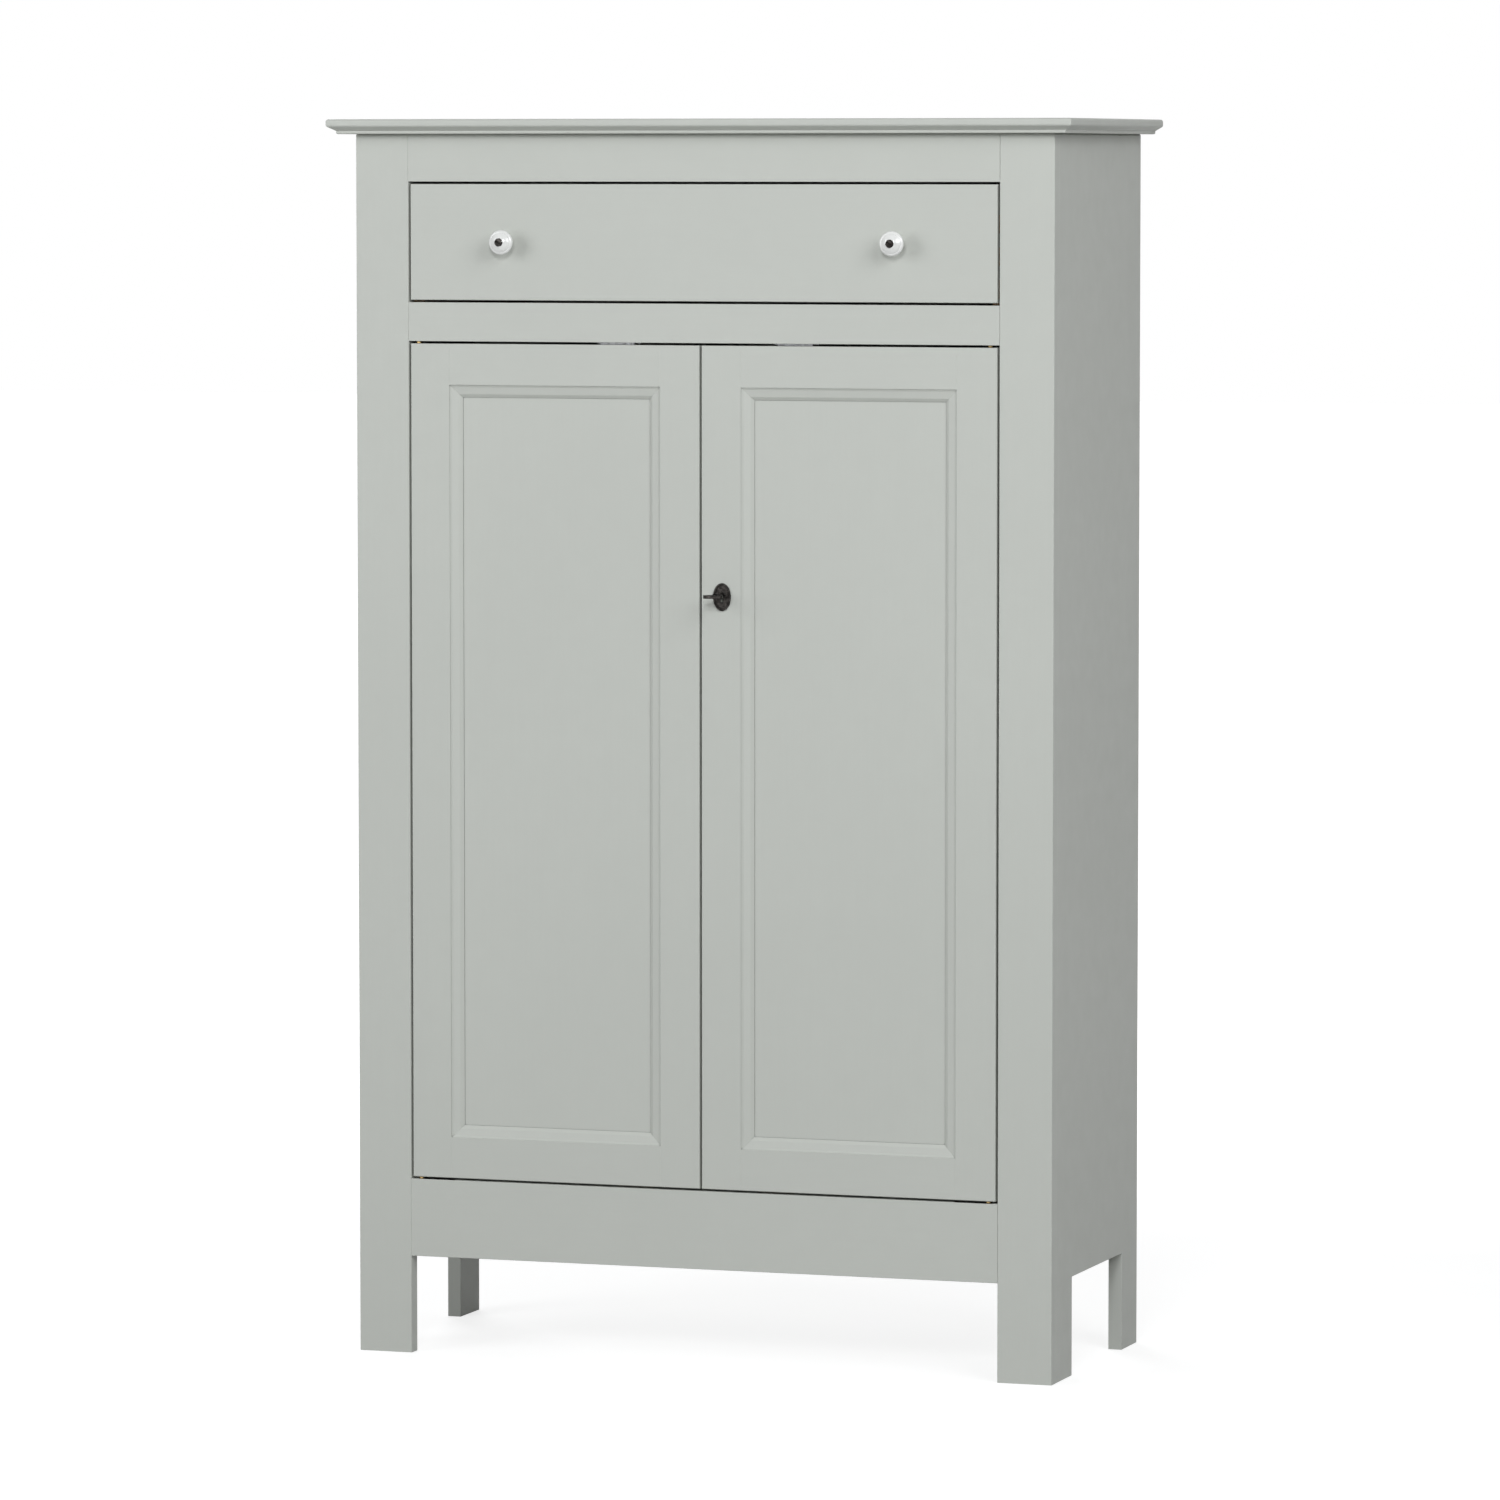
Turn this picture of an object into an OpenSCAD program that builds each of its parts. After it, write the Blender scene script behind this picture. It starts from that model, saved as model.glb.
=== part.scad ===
// Painted two-door wardrobe with one wide drawer above the doors.
// Millimetres, +Z up, floor at Z = 0, front towards -Y, X = 0 between the doors.
// The origin is the middle of the whole outline's footprint, key and cornice included.

/* [Case] */
// Width over the side panels
case_w = 940; // [760:10:1200]
// Depth from the front of the stiles to the back edges of the sides
case_d = 390; // [340:10:560]
// Height from the floor to the underside of the cornice
case_h = 1581; // [1450:1:1900]
// Thickness of the side panels
side_t = 18; // [15:1:25]
// Thickness of the stiles and rails of the front frame
frame_t = 20; // [18:1:23]
// Width of each stile, and of each front foot seen from the front
stile_w = 72; // [60:1:100]
// Height of the open space between the feet
foot_h = 127; // [60:1:160]
// Depth of a front foot seen from the side, stile included
front_foot_d = 90; // [60:1:110]
// Depth of a rear foot seen from the side
rear_foot_d = 70; // [40:1:100]
// Rounding of the front arrises
arris = 1.2; // [0.6:0.2:2.4]
// Rounding of the case's top edges, just under the cornice
top_arris = 2; // [1:0.5:3]
// Thickness of the shelves and the bottom board
board_t = 18; // [15:1:22]
// Thickness of the board between the drawer and the cupboard
dust_t = 12; // [9:1:12]
// Thickness of the back panel
back_t = 6; // [4:1:8]
// Distance from the back edges of the sides to the back panel
back_inset = 4; // [2:1:10]
// Depth of the grooves that hold the back panel
back_groove = 6; // [4:1:8]

/* [Rails] */
// Height of the top rail
top_rail_h = 61; // [50:1:90]
// Height of the opening for the drawer
drawer_opening_h = 155; // [140:1:200]
// Height of the middle rail
middle_rail_h = 50; // [40:1:80]
// Height of the bottom rail
bottom_rail_h = 101; // [80:1:140]
// Length of the rail tenons
tenon_l = 30; // [15:1:36]
// Thickness of the rail tenons
tenon_t = 8; // [6:1:10]
// Shoulder above and below each rail tenon
tenon_shoulder = 8; // [5:1:12]
// Height of the rail along the top of the back
back_rail_h = 70; // [60:1:90]
// Distance between the two wall fixing holes
wall_hole_spacing = 600; // [300:10:640]
// Diameter of the wall fixing holes
wall_hole_d = 6; // [4:0.5:8]

/* [Cornice] */
// Thickness of the cornice board
cornice_t = 19; // [18:1:22]
// Overhang at the front and at both sides
cornice_out = 30; // [26:1:50]
// Height of the upright band at the top of the moulding
cornice_band = 7; // [6:0.5:8]
// Height of the fillet at the bottom of the moulding
cornice_fillet = 4; // [3:0.5:4.5]
// Rounding of the upper edge
cornice_nose = 3.5; // [2:0.5:4]
// Rounding where the band turns under
cornice_roll = 3.5; // [2:0.5:4]
// Angle between the slope under the band and the upright, in degrees
cornice_slope = 60; // [52.5:7.5:60]

/* [Doors] */
// Gap round the doors and round the drawer front
reveal = 3; // [2:0.5:4]
// Thickness of the door frames
door_t = 20; // [20:1:26]
// Flat width of the door frame members
member_w = 53; // [53:1:70]
// Width of the moulding inside the door frame
moulding_w = 16; // [12:1:24]
// Depth from the front of the door frame to the panel
panel_recess = 8; // [7:0.5:9]
// Thickness of the door panels
panel_t = 6; // [4:0.5:6]
// Depth of the panel grooves
panel_groove = 9; // [6:0.5:9]
// Height of the small step at the outer edge of the moulding
moulding_quirk = 0.8; // [0.4:0.2:1.2]
// Width of the bevel next to the frame
moulding_bevel = 3; // [2:0.2:4]
// Height of the moulding's shoulder above the panel
moulding_shoulder = 5.6; // [5:0.2:5.8]
// Fall from the shoulder to the steep bevel
moulding_fall = 2; // [1:0.2:2.6]
// Width of the steep bevel next to the panel
moulding_foot = 4.2; // [3:0.2:5]
// Height of the moulding's thin inner edge
moulding_lip = 0.6; // [0.4:0.2:1]

/* [Pivot hinges] */
// Distance from the hinge edge of the door to the pivot
pivot_in = 10; // [9:0.5:16]
// Distance from the front of the door to the pivot
pivot_back = 6; // [5:0.5:6.5]
// Diameter of the pivot pin
pivot_d = 4; // [3:0.5:5]
// Width of a hinge leaf
leaf_w = 8.4; // [8:0.2:9.4]
// Length of a hinge leaf from the pivot to its far end
leaf_l = 46; // [36:1:60]
// Distance from the pivot to the first screw of a leaf
leaf_screw_in = 20; // [15:1:24]
// Distance from the far end of a leaf to its second screw
leaf_screw_end = 8; // [6:0.5:10]
// Thickness of a hinge leaf
leaf_t = 2.5; // [2:0.5:3]
// Diameter of the hinge screws
hinge_screw_d = 3; // [2.5:0.5:3.5]
// Length of the hinge screws
hinge_screw_l = 16; // [12:1:20]

/* [Drawer] */
// Distance from the drawer to the back panel
drawer_back_gap = 30; // [25:5:120]
// Thickness of the drawer front
drawer_front_t = 20; // [18:1:24]
// Thickness of the drawer sides and back
drawer_side_t = 12; // [10:1:15]
// Height of the drawer sides
drawer_side_h = 122; // [90:1:124]
// Thickness of the drawer bottom
drawer_bottom_t = 5; // [4:0.5:6]
// Height of the drawer bottom above the lower edge of the sides
drawer_bottom_up = 10; // [8:1:14]
// Depth of the grooves for the drawer bottom
drawer_groove = 6; // [4:0.5:7]
// Length of the dovetails
tail_l = 13; // [9:1:14]
// Width of a dovetail at its narrow root
tail_root = 18; // [14:1:20]
// Widening of a dovetail towards its end, each side
tail_flare = 3; // [2:0.5:4]
// Play between the drawer and its guides
drawer_play = 1; // [0.5:0.25:2]
// Height of the guides beside the drawer
guide_h = 30; // [20:1:40]
// Height of the kicker strips above the drawer sides
kicker_h = 18; // [12:1:20]

/* [Knobs] */
// Distance from the end of the drawer front to its knob
knob_inset = 132.5; // [110:0.5:200]
// Diameter of the knob's head
knob_d = 32; // [26:1:38]
// Distance that the knob stands out from the drawer front
knob_out = 31; // [26:0.5:34]
// Height of the knob's domed front
knob_crown = 9; // [7:0.5:11]
// Diameter of the knob's foot
knob_foot_d = 17; // [14:0.5:20]
// Diameter of the knob's neck
knob_neck_d = 13; // [11:0.5:15]
// Diameter of the knob bolt's head
bolt_head_d = 10.5; // [8:0.5:11]
// Diameter of the knob bolt
bolt_d = 4; // [3:0.5:5]

/* [Lock] */
// Height of the key above the floor
lock_z = 994; // [800:1:1060]
// Distance from the meeting edge of the door to the key
key_inset = 28; // [27:0.5:30]
// Distance that the key stands out from the door
key_out = 45; // [38:1:55]
// Diameter of the key's stem
key_stem_d = 5; // [4:0.25:5.5]
// Width of the key's bow
bow_w = 26; // [18:0.5:28]
// Length of the key's bow
bow_l = 18; // [15:0.5:24]
// Thickness of the key's bow
bow_t = 4.2; // [3:0.2:5]
// Width of the escutcheon
escutcheon_w = 23.5; // [22:0.5:30]
// Height of the escutcheon
escutcheon_h = 35.5; // [32:0.5:46]
// Distance from the key down to the middle of the escutcheon
escutcheon_drop = 2; // [0:0.5:4]
// Thickness of the escutcheon's rim
escutcheon_t = 2; // [1.4:0.2:3]
// Width of the lock case across the door
lock_case_w = 42; // [41:0.5:43]
// Height of the lock case
lock_case_h = 60; // [56:1:70]
// Depth of the lock case
lock_case_d = 11; // [10:0.5:12]
// Thickness of the lock's plates
lock_wall = 1.5; // [1:0.1:1.8]
// Height of the lock's edge plate
selvedge_h = 76; // [72:1:96]
// Pitch radius of the pinion that the key turns
pinion_r = 4.6; // [4.4:0.1:4.8]
// Number of teeth round the pinion
pinion_teeth = 8; // [7:1:9]
// Height of the lock bolt
lock_bolt_h = 15; // [12:1:16]

/* [Slide bolts] */
// Distance from the meeting edge of the left door to the slide bolts
slide_inset = 22; // [18:1:28]
// Diameter of the slide bolt rods
rod_d = 7; // [6:0.5:8]
// Length of the slide bolt rods
rod_l = 92; // [84:1:120]
// Travel of the slide bolts, from the grip to its stop
rod_travel = 12; // [8:1:16]
// Width of the slide bolt plates
slide_plate_w = 24; // [20:1:28]
// Height of the slide bolt plates
slide_plate_h = 66; // [60:1:70]

/* [Inside] */
// Height of the lower shelf's top face
lower_shelf_z = 590; // [500:1:620]
// Height of the upper shelf's top face
upper_shelf_z = 950; // [860:1:980]
// Distance from the front of the case to the shelves
shelf_setback = 50; // [45:1:90]
// Diameter of the shelf pins
shelf_pin_d = 5; // [4:0.5:6]
// Length of a shelf pin in the side panel
shelf_pin_in = 9; // [7:0.5:11]
// Length of a shelf pin under the shelf
shelf_pin_out = 10; // [7:0.5:12]
// Distance from a shelf's edge to its pins
shelf_pin_edge = 40; // [30:1:60]
// Distance between the pin holes
pin_pitch = 64; // [32:32:64]

/* [Stops and catches] */
// Distance from the middle of the case to the door stops
door_stop_x = 70; // [50:5:100]
// Length of the door stops
door_stop_l = 50; // [30:5:80]
// Height and depth of the door stops
door_stop_t = 12; // [8:1:14]
// Length of the drawer stops
drawer_stop_l = 20; // [12:1:24]
// Distance from the middle of the case to the magnetic catches
catch_x = 120; // [100:5:180]
// Width of the magnetic catches
catch_w = 46; // [36:1:60]
// Depth of the magnetic catches
catch_d = 14; // [10:1:18]
// Height of the magnetic catches
catch_h = 13; // [10:1:16]
// Distance between the glue blocks
glue_block_pitch = 200; // [150:10:220]
// Length of the glue blocks
glue_block_l = 60; // [40:5:80]
// Width of the glue blocks against each board
glue_block_leg = 30; // [20:1:34]

/* [Hidden] */

$fn = 48;

// Clearances
seat = 0.05;          // between glued faces that fit in each other
slip = 0.3;           // between pieces that pass each other
pin_slip = 0.05;      // round a pin that turns
lock_slip = 0.15;     // round the sliding lock bolt
over = 1;             // how far a cut runs past a face
stop_gap = 0.4;       // between a closed door or drawer and its stop

paint = [0.73, 0.74, 0.71];
inside_paint = [0.78, 0.78, 0.75];
bare_wood = [0.78, 0.66, 0.48];
porcelain = [0.93, 0.93, 0.91];
bronze = [0.20, 0.17, 0.15];
brass = [0.72, 0.58, 0.33];
steel = [0.62, 0.62, 0.64];

// Planes of the case. Depths are counted back from the front of the stiles.
front_y = (key_out - case_d) / 2;
half_w = case_w / 2;
inner_x = half_w - side_t;
open_x = half_w - stile_w;
back_y = case_d - back_inset - back_t;
bottom_z = foot_h + bottom_rail_h;
drawer_top = case_h - top_rail_h;
drawer_floor = drawer_top - drawer_opening_h;
ceiling_z = drawer_floor - middle_rail_h;

// Doors, drawn for the left one
door_x0 = -open_x + reveal;
door_x1 = -reveal / 2;
door_z0 = bottom_z + reveal;
door_z1 = ceiling_z - reveal;
panel_x0 = door_x0 + member_w;
panel_x1 = door_x1 - member_w;
panel_z0 = door_z0 + member_w;
panel_z1 = door_z1 - member_w;
pivot_x = door_x0 + pivot_in;
leaf_screws = [leaf_screw_in, leaf_l - leaf_screw_end];

// Drawer
drawer_d = back_y - drawer_back_gap;
drawer_half = open_x - reveal;
knob_x = drawer_half - knob_inset;
side_z0 = drawer_floor + slip;
side_z1 = side_z0 + drawer_side_h;
front_z0 = drawer_floor + reveal;
front_z1 = drawer_top - reveal;
knob_z = (front_z0 + front_z1) / 2;
drawer_inner = drawer_half - drawer_side_t;
tail_count = 3;
tail_pitch = drawer_side_h / tail_count;
back_dado = 4;
guide_lip = 6;
knob_head_in = 2;

// Lock
key_x = -door_x1 + key_inset;
edge_x = reveal / 2;
case_y0 = door_t - lock_case_d;
selvedge_y0 = case_y0 - 2;
cavity_y0 = case_y0 + lock_wall;
cavity_y1 = door_t - lock_wall;
bolt_y0 = cavity_y0 + slip;
bolt_y1 = cavity_y1 - slip;
throw = pinion_r * PI / 2;
tooth_pitch = 2 * PI * pinion_r / pinion_teeth;
tip_share = 0.26;
root_share = 0.34;
addendum = tooth_pitch * tip_share;
dedendum = tooth_pitch * root_share;
pressure_angle = 22;
backlash = 0.2;
bolt_z0 = pinion_r + dedendum;
bolt_window_z0 = lock_z + bolt_z0 - lock_slip;
bolt_window_z1 = lock_z + bolt_z0 + lock_bolt_h + lock_slip;
key_step = 0.7;
pinion_bore_d = key_stem_d - 2 * key_step;

// Slide bolts and catches
rod_lift = 2;
slide_x = door_x1 - slide_inset;
slide_y = door_t + lock_wall + rod_d / 2 + rod_lift;
loop_in = 4;
loop_h = 12;
grip_d = 5;
grip_out = 7;
catch_plate_t = 1.5;

// Plain helpers

module block(lo, hi) {
    translate(lo)
        cube(hi - lo);
}

// Everything is drawn with its front frame at Y = 0 and moved here once.
module placed() {
    translate([0, front_y, 0])
        children();
}

module mirrored() {
    mirror([1, 0, 0])
        children();
}

module both_sides() {
    children();
    mirrored()
        children();
}

// Rectangle from (0, 0) whose two corners at Y = 0 are rounded
module eased_outline(w, d, r) {
    difference() {
        square([w, d]);
        eased_corner(r);
        translate([w, 0])
            mirror([1, 0])
                eased_corner(r);
    }
}

module eased_corner(r) {
    difference() {
        translate([-over, -over])
            square(r + over);
        translate([r, r])
            circle(r);
    }
}

// Block with rounded front arrises on its upright edges
module eased_post(lo, hi, r = arris) {
    size = hi - lo;
    translate(lo)
        linear_extrude(size[2])
            eased_outline(size[0], size[1], r);
}

// Block with rounded front arrises on its level edges
module eased_rail(lo, hi, r = arris) {
    size = hi - lo;
    translate(lo)
        rotate([90, 0, 90])
            linear_extrude(size[0])
                mirror([1, -1])
                    eased_outline(size[2], size[1], r);
}

// Block with all four front arrises rounded
module eased_front(lo, hi, r = arris) {
    intersection() {
        eased_post(lo, hi, r);
        eased_rail(lo, hi, r);
    }
}

// Cylinder along Y from y0 to y1
module bar_y(x, z, y0, y1, d) {
    translate([x, y0, z])
        rotate([-90, 0, 0])
            cylinder(h = y1 - y0, d = d);
}

// Cylinder along X from x0 to x1
module bar_x(y, z, x0, x1, d) {
    translate([x0, y, z])
        rotate([0, 90, 0])
            cylinder(h = x1 - x0, d = d);
}

// Cylinder along Z from z0 to z1
module bar_z(x, y, z0, z1, d) {
    translate([x, y, z0])
        cylinder(h = z1 - z0, d = d);
}

// Case

function pin_rows() = [shelf_setback + shelf_pin_edge, back_y - shelf_pin_edge];
function pin_levels(top) = [for (k = [-1, 0, 1]) top - board_t - shelf_pin_d / 2 + k * pin_pitch];

// Rounds the upper front edge of a piece of the case
module front_shoulder() {
    translate([-half_w - over, 0, case_h])
        rotate([90, 0, 90])
            linear_extrude(case_w + 2 * over)
                mirror([0, 1])
                    eased_corner(top_arris);
}

// Rounds the upper outer edge of a piece of the case's left side
module side_shoulder() {
    translate([-half_w, case_d + over, case_h])
        rotate([90, 0, 0])
            linear_extrude(case_d + 2 * over)
                mirror([0, 1])
                    eased_corner(top_arris);
}

module side_panel() {
    difference() {
        block([-half_w, frame_t, 0], [-inner_x, case_d, case_h]);
        block([-half_w - over, front_foot_d, -over],
              [-inner_x + over, case_d - rear_foot_d, foot_h]);
        block([-inner_x - back_groove - seat, back_y - seat, bottom_z - board_t - seat],
              [-inner_x + over, back_y + back_t + seat, case_h + over]);
        for (y = pin_rows())
            for (z = concat(pin_levels(lower_shelf_z), pin_levels(upper_shelf_z)))
                bar_x(y, z, -inner_x - shelf_pin_in - seat, -inner_x + over, shelf_pin_d + 2 * seat);
        side_shoulder();
    }
}

module left_side_panel() {
    color(paint)
        placed()
            side_panel();
}

module right_side_panel() {
    color(paint)
        placed()
            mirrored()
                side_panel();
}

module rail_tenon(z0, z1, grow) {
    block([-open_x - tenon_l - grow, (frame_t - tenon_t) / 2 - grow, z0 + tenon_shoulder - grow],
          [-open_x + over, (frame_t + tenon_t) / 2 + grow, z1 - tenon_shoulder + grow]);
}

module stile() {
    difference() {
        eased_post([-half_w, 0, 0], [-open_x, frame_t, case_h]);
        rail_tenon(foot_h, bottom_z, seat);
        rail_tenon(ceiling_z, drawer_floor, seat);
        rail_tenon(drawer_top, case_h, seat);
        front_shoulder();
        side_shoulder();
    }
}

module left_stile() {
    color(paint)
        placed()
            stile();
}

module right_stile() {
    color(paint)
        placed()
            mirrored()
                stile();
}

module rail(z0, z1) {
    eased_rail([-open_x, 0, z0], [open_x, frame_t, z1], arris / 2);
    both_sides()
        rail_tenon(z0, z1, 0);
}

module top_rail() {
    color(paint)
        placed()
            difference() {
                rail(drawer_top, case_h);
                front_shoulder();
            }
}

module middle_rail() {
    color(paint)
        placed()
            difference() {
                rail(ceiling_z, drawer_floor);
                both_sides() {
                    at_upper_pivot()
                        hinge_leaf_pocket();
                    at_upper_pivot()
                        hinge_screws(seat);
                }
            }
}

module bottom_rail() {
    color(paint)
        placed()
            difference() {
                rail(foot_h, bottom_z);
                both_sides() {
                    at_lower_pivot()
                        hinge_leaf_pocket();
                    at_lower_pivot()
                        hinge_screws(seat);
                }
            }
}

// Moulded edge, drawn outwards from the case: a band turns under into a slope,
// which ends on a fillet with a rounded lower corner
module cornice_edge(depth) {
    fillet_nose = 2;
    out_x = depth + cornice_out;
    roll_x = out_x - cornice_roll;
    roll_z = cornice_t - cornice_band;
    corner_z = roll_z - cornice_roll * tan(cornice_slope / 2);
    fillet_x = out_x - (corner_z - cornice_fillet) * tan(cornice_slope);
    difference() {
        union() {
            square([fillet_x, cornice_t]);
            polygon([
                [0, cornice_fillet], [fillet_x, cornice_fillet], [out_x, corner_z],
                [out_x, cornice_t], [0, cornice_t]
            ]);
        }
        translate([out_x, cornice_t])
            rotate([0, 0, 180])
                eased_corner(cornice_nose);
        difference() {
            polygon([
                [roll_x, roll_z], [out_x + over, roll_z], [out_x + over, corner_z - over],
                [roll_x + (cornice_roll + over) * cos(cornice_slope),
                 roll_z - (cornice_roll + over) * sin(cornice_slope)]
            ]);
            translate([roll_x, roll_z])
                circle(cornice_roll);
        }
        translate([fillet_x, 0])
            mirror([1, 0])
                eased_corner(fillet_nose);
    }
}

module cornice_board() {
    color(paint)
        placed()
            translate([0, 0, case_h])
                intersection() {
                    translate([half_w + cornice_out, case_d, 0])
                        rotate([90, 0, -90])
                            linear_extrude(case_w + 2 * cornice_out)
                                cornice_edge(case_d);
                    translate([0, case_d, 0])
                        rotate([90, 0, 0])
                            linear_extrude(case_d + cornice_out)
                                union() {
                                    cornice_edge(half_w);
                                    mirror([1, 0])
                                        cornice_edge(half_w);
                                }
                }
}

module bottom_board() {
    color(inside_paint)
        placed()
            difference() {
                block([-inner_x, frame_t, bottom_z - board_t], [inner_x, back_y, bottom_z]);
                bar_z(slide_x, slide_y, bottom_z - board_t - over, bottom_z + over, rod_d + 2 * slip);
            }
}

module dust_board() {
    color(inside_paint)
        placed()
            difference() {
                block([-inner_x, frame_t, ceiling_z], [inner_x, back_y, ceiling_z + dust_t]);
                bar_z(slide_x, slide_y, ceiling_z - over, ceiling_z + dust_t + over, rod_d + 2 * slip);
            }
}

module wall_holes() {
    for (x = [-wall_hole_spacing / 2, wall_hole_spacing / 2])
        bar_y(x, case_h - back_rail_h / 2, back_y - board_t - over, case_d + over, wall_hole_d);
}

module back_panel() {
    color(inside_paint)
        placed()
            difference() {
                block([-inner_x - back_groove, back_y, bottom_z - board_t],
                      [inner_x + back_groove, back_y + back_t, case_h]);
                wall_holes();
            }
}

module back_rail() {
    color(inside_paint)
        placed()
            difference() {
                block([-inner_x, back_y - board_t, case_h - back_rail_h], [inner_x, back_y, case_h]);
                wall_holes();
            }
}

module shelf(top) {
    block([-inner_x + slip, shelf_setback, top - board_t], [inner_x - slip, back_y - slip, top]);
}

module lower_shelf() {
    color(inside_paint)
        placed()
            shelf(lower_shelf_z);
}

module upper_shelf() {
    color(inside_paint)
        placed()
            shelf(upper_shelf_z);
}

module shelf_pins() {
    collar_t = 1.2;
    collar_d = 8;
    color(steel)
        placed()
            both_sides()
                for (y = pin_rows())
                    for (top = [lower_shelf_z, upper_shelf_z]) {
                        z = top - board_t - shelf_pin_d / 2;
                        bar_x(y, z, -inner_x - shelf_pin_in, -inner_x + shelf_pin_out, shelf_pin_d);
                        intersection() {
                            bar_x(y, z, -inner_x, -inner_x + collar_t, collar_d);
                            block([-inner_x, y - collar_d, z - collar_d],
                                  [-inner_x + collar_t, y + collar_d, z + shelf_pin_d / 2]);
                        }
                    }
}

// Runner with the guide beside the drawer, one moulded strip
module drawer_runner() {
    runner_x = drawer_inner - guide_lip;
    guide_x = drawer_half + drawer_play;
    top = drawer_floor - ceiling_z - dust_t;
    translate([0, back_y, ceiling_z + dust_t])
        rotate([90, 0, 0])
            linear_extrude(back_y - frame_t)
                polygon([
                    [-inner_x, 0], [-runner_x, 0], [-runner_x, top],
                    [-guide_x, top], [-guide_x, top + guide_h], [-inner_x, top + guide_h]
                ]);
}

module left_drawer_runner() {
    color(bare_wood)
        placed()
            drawer_runner();
}

module right_drawer_runner() {
    color(bare_wood)
        placed()
            mirrored()
                drawer_runner();
}

// Strip that keeps the open drawer from tipping
module kicker() {
    front_end = max(frame_t, drawer_front_t + stop_gap);
    block([-inner_x, front_end, side_z1 + drawer_play],
          [-drawer_inner + guide_lip, back_y - board_t, side_z1 + drawer_play + kicker_h]);
}

module left_kicker() {
    color(bare_wood)
        placed()
            kicker();
}

module right_kicker() {
    color(bare_wood)
        placed()
            mirrored()
                kicker();
}

module drawer_stops() {
    stop_y = drawer_d + stop_gap;
    color(bare_wood)
        placed()
            both_sides()
                block([-drawer_half, stop_y, drawer_floor],
                      [-drawer_inner, stop_y + drawer_stop_l, drawer_floor + drawer_stop_l]);
}

// Triangular blocks in the corner of the bottom board and the bottom rail
module glue_blocks() {
    leg = glue_block_leg;
    edge = 8;
    color(bare_wood)
        placed()
            for (k = [-1.5 : 1.5])
                translate([k * glue_block_pitch - glue_block_l / 2, frame_t, bottom_z - board_t])
                    rotate([90, 0, 90])
                        linear_extrude(glue_block_l)
                            polygon([[0, 0], [leg, 0], [leg, -edge], [edge, -leg], [0, -leg]]);
}

module door_stops() {
    stop_y = door_t + stop_gap;
    color(bare_wood)
        placed()
            both_sides()
                block([-door_stop_x - door_stop_l, stop_y, bottom_z],
                      [-door_stop_x, stop_y + door_stop_t, bottom_z + door_stop_t]);
}

// Each catch is a box with a thin flange for its screws
module magnetic_catches() {
    ear = 6;
    flange_t = 2;
    y0 = door_t + catch_plate_t + stop_gap;
    x0 = -catch_x - catch_w / 2;
    x1 = -catch_x + catch_w / 2;
    color(steel)
        placed()
            both_sides() {
                block([x0, y0, ceiling_z - catch_h], [x1, y0 + catch_d, ceiling_z]);
                block([x0 - ear, y0 + catch_d / 2, ceiling_z - flange_t],
                      [x1 + ear, y0 + catch_d, ceiling_z]);
            }
}

// Pivot hinges: a leaf with a pin and washer in the rail, a bored leaf in the door's edge.
// Drawn with the pivot at the origin, the rail face at Z = 0 and the door above it.

module at_lower_pivot() {
    translate([pivot_x, pivot_back, bottom_z])
        children();
}

module at_upper_pivot() {
    translate([pivot_x, pivot_back, ceiling_z])
        mirror([0, 0, 1])
            children();
}

module leaf_outline(grow) {
    circle(d = leaf_w + 2 * grow);
    translate([0, -leaf_w / 2 - grow])
        square([leaf_l + grow, leaf_w + 2 * grow]);
}

module hinge_leaf_pocket() {
    translate([0, 0, -leaf_t - seat])
        linear_extrude(leaf_t + seat + over)
            leaf_outline(seat);
}

// Countersunk wood screws that hold a leaf, heads flush with its face
module hinge_screws(grow) {
    head_d = hinge_screw_d * 2;
    head_h = hinge_screw_d / 2;
    for (x = leaf_screws)
        translate([x, 0, 0]) {
            translate([0, 0, -hinge_screw_l - grow])
                cylinder(h = hinge_screw_l + grow, d = hinge_screw_d + 2 * grow);
            translate([0, 0, -head_h])
                cylinder(h = head_h, d1 = hinge_screw_d + 2 * grow, d2 = head_d + 2 * grow);
        }
}

module frame_leaf() {
    difference() {
        union() {
            translate([0, 0, -leaf_t])
                linear_extrude(leaf_t)
                    leaf_outline(0);
            cylinder(h = reveal - slip / 2, d = leaf_w);
            cylinder(h = reveal + leaf_t + pivot_d, d = pivot_d);
        }
        hinge_screws(seat);
    }
}

module hinge_frame_leaves() {
    color(brass)
        placed()
            both_sides() {
                at_lower_pivot()
                    frame_leaf();
                at_upper_pivot()
                    frame_leaf();
            }
}

module frame_hinge_screws() {
    color(brass)
        placed()
            both_sides() {
                at_lower_pivot()
                    hinge_screws(0);
                at_upper_pivot()
                    hinge_screws(0);
            }
}

// The door side of the hinge, seen with the door's edge as its Z = 0 face
module at_door_pivots() {
    at_lower_pivot()
        translate([0, 0, reveal])
            mirror([0, 0, 1])
                children();
    at_upper_pivot()
        translate([0, 0, reveal])
            mirror([0, 0, 1])
                children();
}

module door_leaf() {
    difference() {
        translate([0, 0, -leaf_t])
            linear_extrude(leaf_t)
                leaf_outline(0);
        translate([0, 0, -leaf_t - over])
            cylinder(h = leaf_t + 2 * over, d = pivot_d + 2 * pin_slip);
        hinge_screws(seat);
    }
}

module door_hinge_cuts() {
    at_door_pivots() {
        hinge_leaf_pocket();
        hinge_screws(seat);
        translate([0, 0, -leaf_t - pivot_d - over])
            cylinder(h = pivot_d + 2 * over, d = pivot_d + 2 * slip);
    }
}

// Doors. Every piece is drawn for the left door and mirrored for the right one.

module door_blank() {
    eased_front([door_x0, 0, door_z0], [door_x1, door_t, door_z1]);
}

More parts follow.
